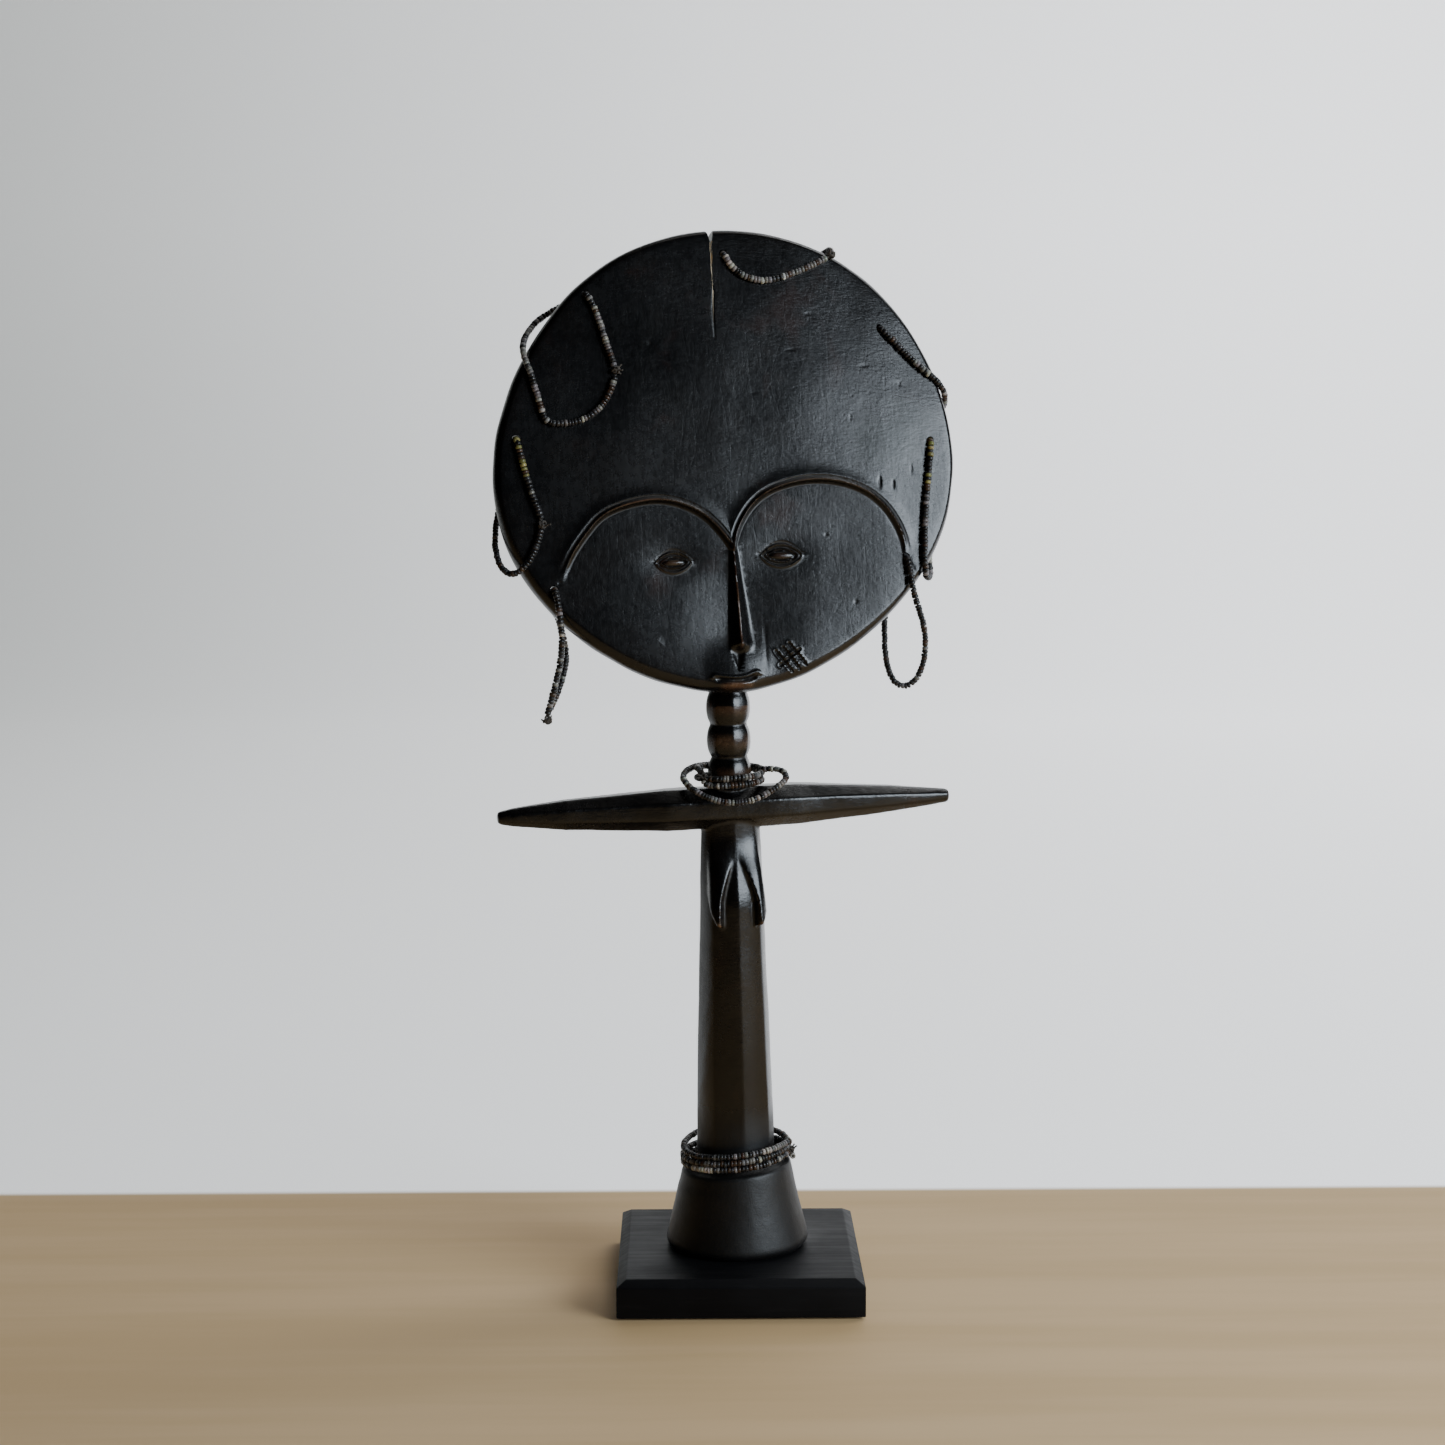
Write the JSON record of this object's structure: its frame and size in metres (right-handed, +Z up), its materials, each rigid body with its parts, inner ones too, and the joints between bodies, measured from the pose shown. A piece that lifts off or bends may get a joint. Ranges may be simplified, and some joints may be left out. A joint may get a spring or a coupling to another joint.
{
  "type": "carved wooden standing figure",
  "caption": "Carved wooden standing doll with a large flat disc-shaped head, short arms held straight out and seed-bead strands, on a chamfered plinth.",
  "frame": {"origin": "centre of the felt underside, on the surface that the plinth stands on", "axes": "+Z up the figure, -Y out of the plinth's front side, +X to the right seen from the front; at rest the figure is turned 12 degrees on its plinth"},
  "size_m": [0.1497, 0.08, 0.3477],
  "materials": {
    "carved_wood": "near-black handled patina, soft sheen, brown where worn",
    "ebonised_wood": "matte black stained wood with open grain",
    "seed_beads": "opaque glass seed beads, black and brown with some grey, white and yellow",
    "cotton_thread": "twisted cotton thread, dark with age",
    "rod_steel": "turned mild steel",
    "felt": "black felt"
  },
  "bodies": {
    "stand": {"plinth": "ebonised_wood", "felt_pad": "felt"},
    "rod": {"mounting_rod": "rod_steel", "rod_washer": "rod_steel", "rod_screw": "rod_steel"},
    "figure": {"carved_figure": "carved_wood", "head_strand_1": "seed_beads", "head_strand_2": "seed_beads", "head_strand_3": "seed_beads", "head_strand_4": "seed_beads", "head_strand_5": "seed_beads", "head_knot_1": "cotton_thread", "head_knot_2": "cotton_thread", "head_knot_3": "cotton_thread", "head_knot_4": "cotton_thread", "head_knot_5": "cotton_thread", "neck_strand_turns": "seed_beads", "neck_strand_loop": "seed_beads", "neck_knot": "cotton_thread"},
    "left_loop": {"head_strand_6": "seed_beads", "head_knot_6": "cotton_thread"},
    "right_loop": {"head_strand_7": "seed_beads", "head_knot_7": "cotton_thread"},
    "hip_strand": {"hip_strand_turns": "seed_beads", "hip_knot": "cotton_thread"}
  },
  "joints": [
    {"name": "figure_turn", "type": "hinge", "parent": "stand", "child": "rod", "pos_m": [0, 0, 0.0128], "axis": [0, 0, 1], "continuous": true},
    {"name": "figure_lift", "type": "slide", "parent": "rod", "child": "figure", "axis": [0, 0, 1], "range_m": [0, 0.022]},
    {"name": "left_loop_swing", "type": "hinge", "parent": "figure", "child": "left_loop", "pos_m": [-0.05932, -0.01891, 0.23273], "axis": [0.2047, -0.9633, 0.1736], "range_deg": [-20, 20]},
    {"name": "right_loop_swing", "type": "hinge", "parent": "figure", "child": "right_loop", "pos_m": [0.05382, 0.00673, 0.24159], "axis": [0.2047, -0.9633, 0.1736], "range_deg": [-20, 20]},
    {"name": "hip_strand_turn", "type": "hinge", "parent": "figure", "child": "hip_strand", "pos_m": [-0.00089, 0.0012, 0.0441], "axis": [-0.0839, -0.0145, 0.9964], "continuous": true}
  ]
}
